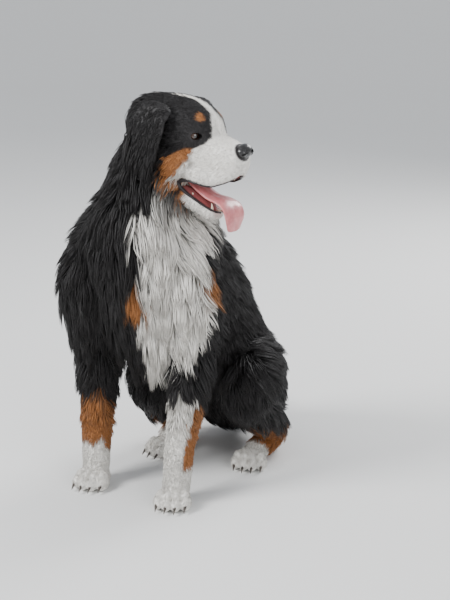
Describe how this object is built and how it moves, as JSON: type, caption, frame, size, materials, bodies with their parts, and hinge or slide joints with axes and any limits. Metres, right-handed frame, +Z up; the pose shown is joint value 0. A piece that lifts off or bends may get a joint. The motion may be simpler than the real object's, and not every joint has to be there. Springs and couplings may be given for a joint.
{
  "type": "bernese mountain dog",
  "caption": "Life-size still model of a sitting long-coated tricolour mountain dog, head turned to its left, mouth open, tail laid on the floor behind.",
  "frame": {"origin": "middle of the bounding box on the floor that the dog sits on", "axes": "+Z up, -Y the way the dog's trunk faces, +X to the dog's left, which is where the head looks"},
  "size_m": [0.4874, 0.965, 0.8975],
  "materials": {
    "coat": "long soft black coat with rust and white markings",
    "coat_light": "short white coat",
    "nose_leather": "damp pebbled black leather",
    "eye": "wet dark brown",
    "tongue": "moist pink",
    "tooth": "polished ivory",
    "claw": "dull dark horn"
  },
  "bodies": {
    "root": {"torso": "coat", "neck": "coat", "head": "coat", "lower_jaw": "coat_light", "tongue": "tongue", "nose": "nose_leather", "ear_left": "coat", "ear_right": "coat", "eye_left": "eye", "eye_right": "eye", "foreleg_left": "coat", "foreleg_right": "coat", "hindleg_left": "coat", "hindleg_right": "coat", "tail": "coat", "claw_fore_right_1": "claw", "claw_fore_right_2": "claw", "claw_fore_right_3": "claw", "claw_fore_right_4": "claw", "claw_fore_left_1": "claw", "claw_fore_left_2": "claw", "claw_fore_left_3": "claw", "claw_fore_left_4": "claw", "claw_hind_right_1": "claw", "claw_hind_right_2": "claw", "claw_hind_right_3": "claw", "claw_hind_right_4": "claw", "claw_hind_left_1": "claw", "claw_hind_left_2": "claw", "claw_hind_left_3": "claw", "claw_hind_left_4": "claw"}
  },
  "joints": []
}
